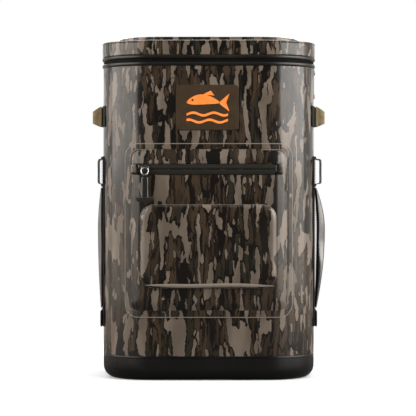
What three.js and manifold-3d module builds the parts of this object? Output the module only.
// An insulated, waterproof fishing backpack: a welded coated-fabric body on a moulded boot, a zipped lid that
// hinges at the back, a raised front pocket with its own zip, side handles and loops, and a padded carry system.
// Millimetres, +Z up, origin at the centre of the boot's flat underside, front face towards -Y.
import * as THREE from "three";
import Module from "manifold-3d";
import { mergeVertices } from "three/addons/utils/BufferGeometryUtils.js";

const wasm = await Module();
wasm.setup();

// ---------------------------------------------------------------- driving dimensions
const BODY = { width: 302, depth: 230, corner: 70 };
const GAP = 0.3; // between pieces that touch
const WALL = { shell: 1.5, foam: 17, liner: 1.2 };
const BOOT = { height: 34, floor: 4, wall: 3, edge: 18 };
const ZIP_LINE = 449; // height at which lid and body part
const RIM = { height: 5.6, proud: 1.7, tape: 1.5 };
const LID = { edge: 476.5, proud: 1.1 };
// A flat margin runs round a raised panel with soft shoulders: [share of the plan, height].
const CROWN = [[0.985, 477.4], [0.88, 478.4], [0.855, 479.6], [0.835, 482.6], [0.81, 484], [0.6, 484.6]];
const HINGE = { y: 119, halfWidth: 80 };
const POCKET = { half: 119.4, bottom: 88, top: 333, corner: 20, flange: 8, raised: 6 };
const POUCH = { half: 93.5, bottom: 130, top: 247, corner: 14, raised: 14, wall: 1.5 };
const POCKET_ZIP = { z: 296, left: -97, right: 92.5, halfHeight: 7.4, sliderX: -89 };
const PATCH = { x: -2, halfWidth: 44.2, z: 382.6, halfHeight: 31.8, corner: 7 };
const RAIL = { from: 174, to: 224, bottom: 72, top: 316, thick: 1.4 }; // from and to run along the wall
const SIDE_STRAP = { y: -38, width: 40, thick: 1.4 };
const GEAR_LOOP = { top: 314, bottom: 274, reach: { left: 6.4, right: 9 } };
const SIDE_HANDLE = { top: 271, bottom: 99, peak: 211, reach: { left: 6.4, right: 14.6 } };
const TIE_LOOP = { z: 372.5, height: 29, tip: 16, reach: 15.5, y: -42, halfGap: 8.5, thick: 1.6 };
const BACK = { half: 104, bottom: 46, top: 398, thick: 2.7 };
const STRAP = { x: 78, width: 56, thick: 9, outY: 160 };
const WEBBING = { width: 25, thick: 1.5 };
const HAUL = { z: 413.5, height: 25, half: 58, reach: 25 };
const STERNUM = { z: 300, webbing: 20 };

const BACK_Y = BODY.depth / 2;
const SIDE_X = BODY.width / 2;
const FLAT = SIDE_X - BODY.corner; // half of the front's flat stretch
const FLAT_SIDE = BODY.depth - 2 * BODY.corner;
const QUARTER = (Math.PI / 2) * BODY.corner;
const RIM_BOTTOM = ZIP_LINE - 2 - RIM.height;
const RIM_TOP = ZIP_LINE - 2;
const LID_BINDING_BOTTOM = ZIP_LINE + 2;
const LID_BINDING_TOP = LID_BINDING_BOTTOM + RIM.height;
const INNER = -(WALL.shell + GAP + WALL.foam + GAP + WALL.liner); // the liner's inner face, from the shell's outside

// ---------------------------------------------------------------- materials
const paint = (color, roughness, metalness = 0) =>
  new THREE.MeshStandardMaterial({ color, roughness, metalness });
const CAMO = paint(0x5b4d42, 0.38);
const BLACK_COATED = paint(0x1d1e1a, 0.35);
const BLACK_RUBBER = paint(0x191919, 0.5);
const BLACK_WEBBING = paint(0x151515, 0.8);
const BLACK_PLASTIC = paint(0x161616, 0.4);
const BLACK_MESH = paint(0x222222, 0.9);
const TAN_WEBBING = paint(0x7a6a4c, 0.85);
const PATCH_FABRIC = paint(0x40322a, 0.85);
const FOAM = paint(0xb8bcbc, 0.9);
const LINER = paint(0xc9ccce, 0.45);
const STEEL = paint(0xc4c6c8, 0.25, 1);

// ---------------------------------------------------------------- shape helpers
const v2 = (x, y) => new THREE.Vector2(x, y);
const v3 = (x, y, z) => new THREE.Vector3(x, y, z);

// The geometry with its faces turned to point out.
function outward(geometry) {
  const p = geometry.getAttribute("position");
  const index = geometry.index.array;
  const [a, b, c] = [v3(), v3(), v3()];
  let volume = 0;
  for (let i = 0; i < index.length; i += 3) {
    a.fromBufferAttribute(p, index[i]);
    b.fromBufferAttribute(p, index[i + 1]);
    c.fromBufferAttribute(p, index[i + 2]);
    volume += a.dot(b.cross(c));
  }
  if (volume < 0) {
    for (let i = 0; i < index.length; i += 3) {
      [index[i + 1], index[i + 2]] = [index[i + 2], index[i + 1]];
    }
  }
  return geometry;
}

// A solid through rings of points. Its first and last rings are capped, unless the list closes on itself.
function loft(rings, closes = false) {
  const count = rings[0].length;
  const index = [];
  const bands = closes ? rings.length : rings.length - 1;
  for (let i = 0; i < bands; i++) {
    const here = i * count;
    const next = ((i + 1) % rings.length) * count;
    for (let k = 0; k < count; k++) {
      const m = (k + 1) % count;
      index.push(here + k, here + m, next + m, here + k, next + m, next + k);
    }
  }
  const last = (rings.length - 1) * count;
  for (let k = 1; k < count - 1 && !closes; k++) {
    index.push(0, k + 1, k, last, last + k, last + k + 1);
  }
  const geometry = new THREE.BufferGeometry();
  geometry.setAttribute("position", new THREE.Float32BufferAttribute(rings.flat().flatMap((p) => p.toArray()), 3));
  geometry.setIndex(index);
  return outward(geometry);
}

// manifold-3d joins and cuts closed meshes.
function solid(geometry) {
  const bare = new THREE.BufferGeometry().setAttribute("position", geometry.getAttribute("position").clone());
  if (geometry.index) bare.setIndex(geometry.index.clone());
  const merged = mergeVertices(bare, 1e-4);
  return new wasm.Manifold(
    new wasm.Mesh({
      numProp: 3,
      vertProperties: new Float32Array(merged.getAttribute("position").array),
      triVerts: new Uint32Array(merged.index.array),
    }),
  );
}

function fromSolid(made) {
  const mesh = made.getMesh();
  const geometry = new THREE.BufferGeometry();
  geometry.setAttribute("position", new THREE.Float32BufferAttribute(mesh.vertProperties, 3));
  geometry.setIndex(new THREE.Uint32BufferAttribute(mesh.triVerts, 1));
  return geometry;
}

const cut = (body, ...tools) => fromSolid(tools.reduce((made, tool) => made.subtract(solid(tool)), solid(body)));
const join = (...bodies) => fromSolid(bodies.map(solid).reduce((made, body) => made.add(body)));
const common = (a, b) => fromSolid(solid(a).intersect(solid(b)));

// The body's outline, moved out by n and scaled about its centre by share, at height z.
function outline(n, z, share = 1, steps = 8) {
  const points = [];
  const radius = BODY.corner + n;
  for (let corner = 0; corner < 4; corner++) {
    const sx = corner === 0 || corner === 3 ? 1 : -1;
    const sy = corner < 2 ? 1 : -1;
    for (let i = 0; i <= steps; i++) {
      const a = ((corner + i / steps) * Math.PI) / 2;
      const x = sx * FLAT + radius * Math.cos(a);
      const y = (sy * FLAT_SIDE) / 2 + radius * Math.sin(a);
      points.push(v3(x * share, y * share, z));
    }
  }
  return points;
}

// A wall all round the body, from [outward offset, height] pairs that close on themselves.
const wallRing = (profile) => loft(profile.map(([n, z]) => outline(n, z)), true);
// A solid plug of the body's plan, from pairs or triples that run from one cap to the other.
const plug = (profile) => loft(profile.map(([n, z, share]) => outline(n, z, share)));

// The point s along the wall from the front's centre, standing n out of the wall.
function onWall(s, n, z) {
  const side = Math.sign(s) || 1;
  const along = Math.abs(s);
  if (along <= FLAT) return v3(s, -BACK_Y - n, z);
  if (along >= FLAT + QUARTER) {
    return v3(side * (SIDE_X + n), -FLAT_SIDE / 2 + along - FLAT - QUARTER, z);
  }
  const a = (along - FLAT) / BODY.corner;
  const reach = BODY.corner + n;
  return v3(side * (FLAT + reach * Math.sin(a)), -FLAT_SIDE / 2 - reach * Math.cos(a), z);
}

// A slab that follows the wall from s0 to s1 and z0 to z1, with round corners, between offsets n0 and n1.
function wallSlab({ s0, s1, z0, z1, corner, n0, n1, edge = 0.4 }) {
  const turns = corner > 4 ? 5 : 2;
  const stations = new Set();
  for (let i = 0; i <= turns; i++) {
    const inset = corner * (1 - Math.sin(((i / turns) * Math.PI) / 2));
    stations.add(s0 + inset).add(s1 - inset);
  }
  stations.add(s0 + edge).add(s1 - edge);
  for (const turn of [-FLAT, FLAT]) {
    if (turn > s0 && turn < s1) stations.add(turn);
  }
  for (let s = Math.ceil(s0 / 8) * 8; s < s1; s += 8) {
    if (Math.abs(s) > FLAT && Math.abs(s) < FLAT + QUARTER) stations.add(s);
  }
  const sorted = [...stations].sort((a, b) => a - b);
  const kept = sorted.filter((s, i) => i === 0 || i === sorted.length - 1 || s - sorted[i - 1] > 0.2);
  return loft(
    kept.map((s) => {
      const d = Math.min(s - s0, s1 - s);
      const inset = d < corner ? corner - Math.sqrt(corner ** 2 - (corner - d) ** 2) : 0;
      const top = d < edge ? n1 - edge + Math.sqrt(edge ** 2 - (edge - d) ** 2) : n1;
      const [low, high, bevel] = [z0 + inset, z1 - inset, edge * 0.6];
      return [
        onWall(s, n0, low),
        onWall(s, top - bevel, low),
        onWall(s, top, low + bevel),
        onWall(s, top, high - bevel),
        onWall(s, top - bevel, high),
        onWall(s, n0, high),
      ];
    }),
  );
}

// A flat strap along a path. Its width lies along across, and may change along the path, as its thickness may.
function strap(path, across, width, thick) {
  return loft(
    path.map((p, i) => {
      const ahead = path[Math.min(i + 1, path.length - 1)];
      const behind = path[Math.max(i - 1, 0)];
      const up = ahead.clone().sub(behind).normalize().cross(across).normalize();
      const u = i / (path.length - 1);
      const w = (typeof width === "function" ? width(u) : width) / 2;
      const t = (typeof thick === "function" ? thick(u) : thick) / 2;
      return [
        [-1, -1],
        [1, -1],
        [1, 1],
        [-1, 1],
      ].map(([a, b]) => p.clone().addScaledVector(across, a * w).addScaledVector(up, b * t));
    }),
  );
}

const smooth = (points, count) => new THREE.CatmullRomCurve3(points, false, "centripetal").getSpacedPoints(count);

// A block of rounded plan, w by h in X and Z, from y0 to y1.
function roundedBlock(w, h, corner, y0, y1, bevel = 0) {
  const s = new THREE.Shape();
  const [x, z] = [w / 2 - corner, h / 2 - corner];
  s.absarc(x, z, corner, 0, Math.PI / 2);
  s.absarc(-x, z, corner, Math.PI / 2, Math.PI);
  s.absarc(-x, -z, corner, Math.PI, 1.5 * Math.PI);
  s.absarc(x, -z, corner, 1.5 * Math.PI, 2 * Math.PI);
  return block(s, y0, y1, bevel);
}

// A shape drawn in X and Z, extruded from y0 to y1.
function block(shape, y0, y1, bevel = 0) {
  const options = { depth: y1 - y0 - 2 * bevel, curveSegments: 4, steps: 1 };
  Object.assign(options, { bevelEnabled: bevel > 0, bevelThickness: bevel, bevelSize: bevel, bevelOffset: -bevel });
  options.bevelSegments = 1;
  return new THREE.ExtrudeGeometry(shape, options).rotateX(Math.PI / 2).translate(0, y1 - bevel, 0);
}

const box = (x0, x1, y0, y1, z0, z1) =>
  new THREE.BoxGeometry(x1 - x0, y1 - y0, z1 - z0).translate((x0 + x1) / 2, (y0 + y1) / 2, (z0 + z1) / 2);

const rodAlong = { x: [0, 0, -Math.PI / 2], y: [0, 0, 0], z: [Math.PI / 2, 0, 0] };
function rod(axis, radius, length, at, sides = 16) {
  const [x, y, z] = rodAlong[axis];
  return new THREE.CylinderGeometry(radius, radius, length, sides)
    .rotateX(x)
    .rotateY(y)
    .rotateZ(z)
    .translate(...at);
}

const object = new THREE.Group();
function add(name, geometry, material, group = object) {
  const mesh = new THREE.Mesh(geometry, material);
  mesh.name = name;
  group.add(mesh);
  return mesh;
}

// ---------------------------------------------------------------- body
function makeBody() {
  const { edge, height, floor, wall } = BOOT;
  const inside = [[-wall, height], [-wall, 16], [-edge / 2, 7], [2 - edge, floor]];
  const foamSide = inside.map(([n, z]) => [n - GAP, z === height ? z : z + GAP]);
  add(
    "base_boot",
    plug([
      [-edge, 0],
      [-edge * 0.67, 0.9],
      [-edge * 0.39, 3.2],
      [-edge * 0.17, 7.2],
      [-edge * 0.04, 12],
      [0, 18],
      [0, height - 1],
      [-0.8, height],
      ...inside,
    ]),
    BLACK_RUBBER,
  );
  add("floor_foam", plug(foamSide), FOAM);

  const bottom = height + GAP;
  const top = RIM_BOTTOM - GAP;
  const foamOut = -WALL.shell - GAP;
  const linerOut = foamOut - WALL.foam - GAP;
  const sleeve = (out, inside) => wallRing([[out, bottom], [out, top], [inside, top], [inside, bottom]]);
  add("outer_shell", sleeve(0, -WALL.shell), CAMO);
  add("wall_foam", sleeve(foamOut, foamOut - WALL.foam), FOAM);
  add(
    "inner_liner",
    plug([[linerOut, bottom], [linerOut, top], [INNER, top], [INNER, bottom + WALL.liner]]),
    LINER,
  );
  add("rim_binding", bindingRing(RIM_BOTTOM), BLACK_COATED);
  add("body_zip_tape", tapeRing(RIM_TOP + GAP), BLACK_COATED);
}

// The half-round binding that caps a wall's edge.
function bindingRing(z) {
  const { height, proud } = RIM;
  const bulge = Array.from({ length: 6 }, (_, i) => {
    const a = (i / 5 - 0.5) * Math.PI;
    return [proud - 1.5 * (1 - Math.cos(a)), z + height / 2 + (height / 2) * Math.sin(a)];
  });
  return wallRing([[INNER, z], ...bulge, [INNER, z + height]]);
}

// The flat coil tape on which one half of the zip's chain is woven.
const tapeRing = (z) => wallRing([[-12, z], [-0.5, z], [-0.5, z + RIM.tape - 0.1], [-12, z + RIM.tape - 0.1]]);

// ---------------------------------------------------------------- lid
// The crown's rings for an outline moved out by n, lowered for a layer under it.
const crownRings = (n, lower) => CROWN.map(([share, z]) => [n, z - lower, share]);

function makeLid() {
  const bottom = LID_BINDING_TOP + GAP;
  const inside = -WALL.shell;
  add(
    "lid_shell",
    plug([
      ...crownRings(inside, WALL.shell).reverse(),
      [inside, LID.edge - WALL.shell],
      [inside, bottom],
      [LID.proud, bottom],
      [LID.proud, LID.edge - 1],
      [LID.proud - 0.7, LID.edge],
      ...crownRings(LID.proud - 0.7, 0),
    ]),
    CAMO,
  );
  const foam = inside - GAP;
  const step = INNER - 2 * GAP;
  const foamTop = WALL.shell + 0.6;
  add(
    "lid_foam",
    plug([
      [step, LID_BINDING_BOTTOM + WALL.liner + 2 * GAP],
      [step, bottom],
      [foam, bottom],
      [foam, LID.edge - foamTop],
      ...crownRings(foam, foamTop),
    ]),
    FOAM,
  );
  add("lid_liner", plug([[step, LID_BINDING_BOTTOM], [step, LID_BINDING_BOTTOM + WALL.liner]]), LINER);
  add("lid_binding", bindingRing(LID_BINDING_BOTTOM), BLACK_COATED);
  add("lid_zip_tape", tapeRing(ZIP_LINE + 0.2), BLACK_COATED);
}

// The fabric hinge is one strip: its lower part is sewn to the body and its upper part to the lid.
function makeHinge() {
  const across = v3(1, 0, 0);
  const onBinding = HINGE.y - 0.9;
  for (const [name, way, proud] of [["hinge_strip_lower", -1, 0], ["hinge_strip_upper", 1, LID.proud]]) {
    const onShell = BACK_Y + proud + 0.95;
    const path = [
      v3(0, onBinding, ZIP_LINE + way * 0.3),
      v3(0, onBinding, ZIP_LINE + way * 8),
      v3(0, onShell, ZIP_LINE + way * 11),
      v3(0, onShell, ZIP_LINE + way * 17),
    ];
    add(name, strap(path, across, 2 * HINGE.halfWidth, 1.2), BLACK_COATED);
  }
}

// ---------------------------------------------------------------- main zip slider and pull
function makeMainZip() {
  const group = new THREE.Group();
  group.rotation.z = Math.PI / 2; // local -Y faces out of the right side, and local X runs to the back
  group.position.set(SIDE_X, 42, 0);
  object.add(group);
  const face = -RIM.proud - 0.4;
  const pin = { y: -4.2, z: 440 };
  const ear = (x) => box(x - 1, x + 1, -6, face + 0.2, pin.z - 2.2, 445);
  add(
    "main_zip_slider",
    join(
      roundedBlock(16, 11.2, 3, -5.6, face, 0.8).translate(0, 0, ZIP_LINE),
      ear(-5),
      ear(5),
      rod("x", 1.1, 10, [0, pin.y, pin.z]),
    ),
    BLACK_PLASTIC,
    group,
  );
  const eye = rod("x", 2.7, 6, [0, pin.y, pin.z]);
  const shaft = box(-3.5, 3.5, pin.y - 1.2, pin.y + 1.2, pin.z - 32, pin.z - 2);
  const bar = roundedBlock(26, 7, 3, pin.y - 1.5, pin.y + 1.5, 0.5).translate(0, 0, pin.z - 34);
  add("main_zip_pull", cut(join(eye, shaft, bar), rod("x", 1.6, 8, [0, pin.y, pin.z])), BLACK_PLASTIC, group);
}

// ---------------------------------------------------------------- front pocket
function makePocket() {
  const { half, bottom, top, corner, flange, raised } = POCKET;
  const area = (inset, n0, n1, edge) =>
    wallSlab({
      s0: -half + inset,
      s1: half - inset,
      z0: bottom + inset,
      z1: top - inset,
      corner: Math.max(corner - inset * 0.6, 4),
      n0,
      n1,
      edge,
    });
  add("pocket_weld_frame", cut(area(0, GAP, GAP + 1.5), area(flange, -3, 5)), CAMO);

  const pouch = (inset, n0, n1, edge) =>
    wallSlab({
      s0: -POUCH.half + inset,
      s1: POUCH.half - inset,
      z0: POUCH.bottom + inset,
      z1: POUCH.top - inset,
      corner: POUCH.corner - inset * 0.6,
      n0,
      n1,
      edge,
    });
  const { z, left, right, halfHeight } = POCKET_ZIP;
  const slot = wallSlab({
    s0: left - 0.5,
    s1: right + 0.5,
    z0: z - halfHeight - 0.4,
    z1: z + halfHeight + 0.4,
    corner: 1,
    n0: 2,
    n1: 9,
  });
  const panel = area(flange + 0.4, GAP, raised, 2);
  const cavity = area(flange + 2.4, -3, raised - 2, 1.5);
  add("pocket_panel", cut(panel, cavity, slot, pouch(3, 1, 9)), CAMO);
  const pouchWall = POUCH.wall + 0.4;
  add(
    "pocket_pouch",
    cut(pouch(0, raised + GAP, POUCH.raised, 4), pouch(pouchWall, 3, POUCH.raised - POUCH.wall, 3.2)),
    CAMO,
  );

  for (const [name, z0, z1] of [
    ["pocket_zip_tape_lower", z - halfHeight, z - 0.3],
    ["pocket_zip_tape_upper", z + 0.3, z + halfHeight],
  ]) {
    add(name, wallSlab({ s0: left, s1: right, z0, z1, corner: 1, n0: 4.2, n1: 6.6 }), BLACK_COATED);
  }
  for (const [name, s0] of [["pocket_zip_dock_left", left - 9.5], ["pocket_zip_dock_right", right - 1.5]]) {
    const dock = { s0, s1: s0 + 11, z0: z - 6.5, z1: z + 7.5, corner: 4, n0: 6.9, n1: 8.1 };
    add(name, wallSlab(dock), CAMO);
  }
}

function makePocketZip() {
  const { z, sliderX } = POCKET_ZIP;
  const group = new THREE.Group();
  group.position.set(sliderX, -BACK_Y, z);
  object.add(group);
  const face = { back: -7, front: -10.4 };
  const stud = { z: -0.5, radius: 1.3, ringY: -13.8, head: -15.1 };
  const ring = { radius: 5, wire: 0.9 };
  const ringZ = stud.z - (ring.radius - ring.wire - stud.radius - 0.3);
  const wireZ = ringZ - ring.radius;

  add(
    "pocket_zip_slider",
    join(
      roundedBlock(12, 11, 3.5, face.front, face.back, 0.8),
      rod("y", stud.radius, face.back - 1 - stud.head, [0, (face.back - 1 + stud.head) / 2, stud.z]),
      rod("y", 2.2, 1.1, [0, stud.head - 0.35, stud.z]),
    ),
    BLACK_PLASTIC,
    group,
  );
  const wire = new THREE.TorusGeometry(ring.radius, ring.wire, 8, 24);
  add("pocket_zip_ring", wire.rotateX(Math.PI / 2).translate(0, stud.ringY, ringZ), STEEL, group);

  // The pull's eye turns on the ring's lowest stretch of wire.
  const length = 34.5;
  const eye = rod("x", 2.8, 3.4, [0, stud.ringY, wireZ]);
  const shaft = box(-4.8, 4.8, stud.ringY - 1.5, stud.ringY + 1.5, wireZ - length, wireZ - 2.1);
  const grip = new THREE.Shape();
  grip.moveTo(-14.5, 2.6);
  grip.quadraticCurveTo(-8.5, -5.2, 0, -5.4);
  grip.quadraticCurveTo(8.5, -5.2, 14.5, 2.6);
  grip.quadraticCurveTo(0, 6, -14.5, 2.6);
  const bar = block(grip, stud.ringY - 2.6, stud.ringY + 2.4, 0.6).translate(0, 0, wireZ - length);
  add("pocket_zip_pull", cut(join(eye, shaft, bar), rod("x", 1.6, 8, [0, stud.ringY, wireZ])), BLACK_PLASTIC, group);
}

function makePatch() {
  const { x, halfWidth, z, halfHeight, corner } = PATCH;
  const area = { s0: x - halfWidth, s1: x + halfWidth, z0: z - halfHeight, z1: z + halfHeight, corner };
  add("label_patch", wallSlab({ ...area, n0: GAP, n1: 1.7, edge: 0.4 }), PATCH_FABRIC);
}

// ---------------------------------------------------------------- side webbing, handles and loops
function makeSide(side, way) {
  const railFace = SIDE_X + GAP + RAIL.thick;
  const mirror = (geometry) => (way > 0 ? geometry : outward(indexed(geometry.scale(-1, 1, 1))));
  const railEnds = way > 0 ? [RAIL.from, RAIL.to] : [-RAIL.to, -RAIL.from];
  const rail = { s0: railEnds[0], s1: railEnds[1], z0: RAIL.bottom, z1: RAIL.top, corner: 3 };
  add(`side_rail_${side}`, wallSlab({ ...rail, n0: GAP, n1: GAP + RAIL.thick }), BLACK_WEBBING);

  const across = v3(0, 1, 0);
  const { y, width, thick } = SIDE_STRAP;
  const foot = railFace + GAP + thick / 2;
  const out = railFace + GEAR_LOOP.reach[side] - thick / 2;
  const loop = [
    v3(foot, y, GEAR_LOOP.top + 1.5),
    v3(foot, y, GEAR_LOOP.top - 2),
    v3(out - 1, y, GEAR_LOOP.top - 3),
    v3(out, y, GEAR_LOOP.top - 5),
    v3(out, y, GEAR_LOOP.bottom + 5),
    v3(out - 1, y, GEAR_LOOP.bottom + 3),
    v3(foot, y, GEAR_LOOP.bottom + 2),
    v3(foot, y, GEAR_LOOP.bottom - 1.5),
  ];
  add(`gear_loop_${side}`, mirror(strap(loop, across, width, thick)), BLACK_WEBBING);

  add(`side_handle_${side}`, mirror(sideHandle(railFace, SIDE_HANDLE.reach[side])), BLACK_COATED);
  const anchor = box(railFace + GAP, railFace + 2.6, y - width / 2 - 1, y + width / 2 + 1, RAIL.bottom, 95);
  add(`handle_anchor_${side}`, mirror(anchor), BLACK_WEBBING);

  const patchEnds = way > 0 ? [165, 215] : [-215, -165];
  const patch = { s0: patchEnds[0], s1: patchEnds[1], z0: TIE_LOOP.z - 15, z1: TIE_LOOP.z + 15, corner: 2 };
  add(`tie_patch_${side}`, wallSlab({ ...patch, n0: GAP, n1: GAP + 1.6 }), BLACK_WEBBING);
  add(`tie_loop_${side}`, mirror(tieLoop()), TAN_WEBBING);
}

const indexed = (geometry) => (geometry.index ? geometry : mergeVertices(geometry.deleteAttribute("uv")));

// A soft handle that lies along the rail, thickest a third of the way down.
function sideHandle(railFace, reach) {
  const { top, bottom, peak } = SIDE_HANDLE;
  const { y, width } = SIDE_STRAP;
  const rings = [];
  for (let i = 0; i <= 14; i++) {
    const z = top + ((bottom - top) * i) / 14;
    const away = z > peak ? (z - peak) / (top - peak) : (peak - z) / (peak - bottom);
    const swell = Math.cos((away * Math.PI) / 2) ** 0.9;
    const outside = railFace + GAP + 1.6 + (reach - 1.9) * swell;
    const inside = railFace + GAP + 3 * swell;
    const half = (width / 2) * (1 - 0.12 * swell);
    const edge = Math.min(1.8, (outside - inside) * 0.35);
    rings.push([
      v3(inside, y - half + edge, z),
      v3(inside + edge, y - half, z),
      v3(outside - edge, y - half, z),
      v3(outside, y - half + edge * 1.6, z),
      v3(outside, y + half - edge * 1.6, z),
      v3(outside - edge, y + half, z),
      v3(inside + edge, y + half, z),
      v3(inside, y + half - edge, z),
    ]);
  }
  return loft(rings);
}

// A webbing loop that folds out from the side, with its corners cut back towards the tip.
function tieLoop() {
  const { z, height, tip, reach, y, halfGap, thick } = TIE_LOOP;
  const root = SIDE_X + 2 * GAP + 1.6 + thick / 2;
  const out = SIDE_X + reach - thick / 2;
  const path = [
    v3(root, y - halfGap - 9, z),
    v3(root, y - halfGap - 1, z),
    v3(root + 1.2, y - halfGap, z),
    v3(out - 2, y - halfGap * 0.8, z),
    v3(out, y - halfGap * 0.4, z),
    v3(out, y + halfGap * 0.4, z),
    v3(out - 2, y + halfGap * 0.8, z),
    v3(root + 1.2, y + halfGap, z),
    v3(root, y + halfGap + 1, z),
    v3(root, y + halfGap + 9, z),
  ];
  const taper = new THREE.Shape([
    v2(SIDE_X - 5, z - height / 2),
    v2(root + 2, z - height / 2),
    v2(out + 3, z - tip / 2 - 2),
    v2(out + 3, z + tip / 2),
    v2(root + 2, z + height / 2),
    v2(SIDE_X - 5, z + height / 2),
  ]);
  return common(strap(path, v3(0, 0, 1), height, thick), block(taper, y - 40, y + 40));
}

// ---------------------------------------------------------------- back panel and carry system
// Wall slabs of the back are laid on the front and turned half round, because the plan is symmetric.
function makeBack() {
  const back = new THREE.Group();
  back.rotation.z = Math.PI;
  object.add(back);
  const { half, bottom, top, thick } = BACK;
  const face = GAP + thick;
  const panel = { s0: -half, s1: half, z0: bottom, z1: top, corner: 24, n0: GAP, n1: face };
  add("back_panel", wallSlab(panel), BLACK_COATED, back);
  for (const [name, s0, s1] of [["back_pad_left", 9, 97], ["back_pad_right", -97, -9]]) {
    const pad = { s0, s1, z0: 100, z1: 354, corner: 16, n0: face + GAP, n1: face + 9.5, edge: 4 };
    add(name, wallSlab(pad), BLACK_MESH, back);
  }
  const yoke = { s0: -98, s1: 98, z0: 360, z1: 394, corner: 8, n0: face + GAP, n1: face + 3, edge: 0.6 };
  add("strap_yoke", wallSlab(yoke), BLACK_WEBBING, back);
  for (const [side, way] of [["left", 1], ["right", -1]]) {
    const x = way * STRAP.x;
    const anchor = { s0: x - 18, s1: x + 18, z0: 50, z1: 66, corner: 3, n0: face + GAP, n1: face + 2.3 };
    add(`strap_anchor_${side}`, wallSlab(anchor), BLACK_WEBBING, back);
  }
}

function makeShoulderStrap(side, way) {
  const x = way * STRAP.x;
  const across = v3(1, 0, 0);
  const yokeFace = BACK_Y + GAP + BACK.thick + 3;
  const rootY = yokeFace + GAP + 2.2;
  // Out of the yoke, over, straight down where the chest strap slides, and in towards the lock.
  const path = smooth(
    [
      v3(x, rootY, 368),
      v3(x, rootY + 1.5, 380),
      v3(x, rootY + 8, 391),
      v3(x, rootY + 18, 394),
      v3(x, STRAP.outY - 5, 385),
      v3(x, STRAP.outY, 362),
      v3(x, STRAP.outY, 345),
      v3(x, STRAP.outY, 300),
      v3(x, STRAP.outY, 255),
      v3(x, STRAP.outY - 3, 225),
      v3(x, 150, 195),
      v3(x, 145, 172),
    ],
    30,
  );
  const thick = (u) => 3.6 + (STRAP.thick - 3.6) * Math.min(1, Math.max(0, Math.min((u - 0.02) / 0.12, (1 - u) / 0.1)));
  const width = (u) => STRAP.width * (u > 0.85 ? 1 - 1.9 * (u - 0.85) : 1);
  add(`shoulder_strap_${side}`, strap(path, across, width, thick), BLACK_MESH);

  // The webbing turns round the lock's bar: one end is sewn to the anchor and the other hangs as a tail.
  const lock = v3(x, 144, 158);
  const frame = box(x - 17, x + 17, lock.y - 3.5, lock.y + 3.5, lock.z - 9, lock.z + 13);
  const slotHalf = WEBBING.width / 2 + 0.7;
  add(
    `ladder_lock_${side}`,
    cut(
      frame,
      box(x - slotHalf, x + slotHalf, lock.y - 5, lock.y + 5, lock.z + 2, lock.z + 8.6),
      box(x - slotHalf, x + slotHalf, lock.y - 5, lock.y + 5, lock.z - 12, lock.z - 2),
      box(x - slotHalf, x + slotHalf, lock.y - 5, lock.y - 1.5, lock.z - 12, lock.z + 8.6),
      box(x - slotHalf, x + slotHalf, lock.y + 1.5, lock.y + 5, lock.z - 12, lock.z + 8.6),
    ),
    BLACK_PLASTIC,
  );
  const anchorY = BACK_Y + GAP + BACK.thick + 2.3 + GAP + WEBBING.thick / 2;
  const turn = Array.from({ length: 7 }, (_, i) => {
    const a = (i / 6) * Math.PI;
    return v3(x, lock.y + 3.4 * Math.cos(a), lock.z + 1.2 + 3.8 * Math.sin(a));
  });
  const web = [
    v3(x, lock.y + 5, 82),
    v3(x, lock.y + 4.2, 110),
    v3(x, lock.y + 3.4, 145),
    ...turn,
    v3(x, lock.y - 4.2, 140),
    v3(x, 136, 116),
    v3(x, anchorY + 3, 76),
    v3(x, anchorY, 65),
    v3(x, anchorY, 53),
  ];
  add(`strap_webbing_${side}`, strap(web, across, WEBBING.width, WEBBING.thick), BLACK_WEBBING);
}

function makeHaulHandle() {
  const { z, height, half, reach } = HAUL;
  const foot = BACK_Y + GAP + 0.9;
  const gripY = foot + reach - 5.2;
  const bow = smooth(
    [
      v3(-half, foot, z),
      v3(-half + 14, foot, z),
      v3(-half + 26, foot + reach * 0.62, z),
      v3(-14, gripY, z),
      v3(14, gripY, z),
      v3(half - 26, foot + reach * 0.62, z),
      v3(half - 14, foot, z),
      v3(half, foot, z),
    ],
    28,
  );
  // The feet lie flat, and a straight middle stretch carries the grip.
  const path = bow.map((p) => v3(p.x, Math.abs(p.x) < 22 ? gripY : Math.max(p.y, foot), z));
  add("haul_handle", strap(path, v3(0, 0, 1), height, 1.6), BLACK_WEBBING);
  const sleeve = box(-19, 19, gripY - 3, gripY + 3, z - height / 2 - 1.6, z + height / 2 + 1.6);
  const bore = box(-22, 22, gripY - 1.2, gripY + 1.2, z - height / 2 - 0.4, z + height / 2 + 0.4);
  add("haul_grip", cut(sleeve, bore), BLACK_RUBBER);
}

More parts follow.
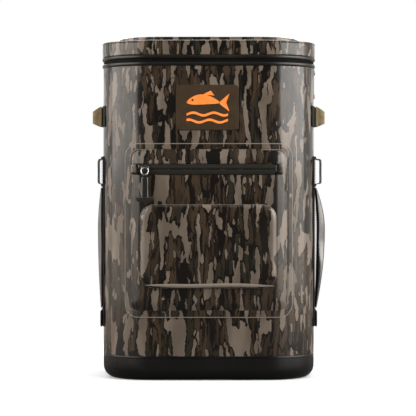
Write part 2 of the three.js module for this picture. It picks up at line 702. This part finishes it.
// The chest strap: clips that ride on the shoulder straps, two lengths of webbing and a side-release buckle.
function makeChestStrap() {
  const { z, webbing } = STERNUM;
  const face = STRAP.outY + STRAP.thick / 2 + 2 * GAP;
  const webY = face + 4.2;
  const clipX = STRAP.x - 12;
  const clip = (x) =>
    cut(
      box(x - 13, x + 13, face, face + 7, z - webbing / 2 - 4, z + webbing / 2 + 4),
      box(x - 16, x + 16, webY - 1.3, webY + 1.3, z - webbing / 2 - 0.5, z + webbing / 2 + 0.5),
    );
  add("sternum_clip_left", clip(-clipX), BLACK_PLASTIC);
  add("sternum_clip_right", clip(clipX), BLACK_PLASTIC);
  const ribbon = (x0, x1) => strap([v3(x0, webY, z), v3((x0 + x1) / 2, webY, z), v3(x1, webY, z)], v3(0, 0, 1), webbing, 1.4);
  add("sternum_webbing_left", ribbon(-clipX - 20, -24.5), BLACK_WEBBING);
  add("sternum_webbing_right", ribbon(24.5, clipX + 20), BLACK_WEBBING);

  const [y0, y1] = [webY - 4, webY + 4];
  const female = cut(
    roundedBlock(26, 28, 4, y0, y1, 0.8).translate(11, 0, z),
    box(-6, 17, webY - 2.4, webY + 2.4, z - 11, z + 11),
    box(-6, 12, y0 - 1, y1 + 1, z - 16, z - 10.4),
    box(-6, 12, y0 - 1, y1 + 1, z + 10.4, z + 16),
  );
  add("sternum_buckle_female", female, BLACK_PLASTIC);
  const prong = (way) => box(-4, 15, webY - 1.9, webY + 1.9, z + way * 7 - 2.2, z + way * 7 + 2.2);
  const male = join(
    roundedBlock(20.5, 26, 4, y0, y1, 0.8).translate(-13.2, 0, z),
    prong(1),
    prong(-1),
    box(-4, 10, webY - 1.9, webY + 1.9, z - 1.4, z + 1.4),
  );
  add("sternum_buckle_male", male, BLACK_PLASTIC);
}

makeBody();
makeLid();
makeHinge();
makeMainZip();
makePocket();
makePocketZip();
makePatch();
makeBack();
makeHaulHandle();
makeChestStrap();
for (const [side, way] of [["left", -1], ["right", 1]]) {
  makeSide(side, way);
  makeShoulderStrap(side, way);
}

export default object;
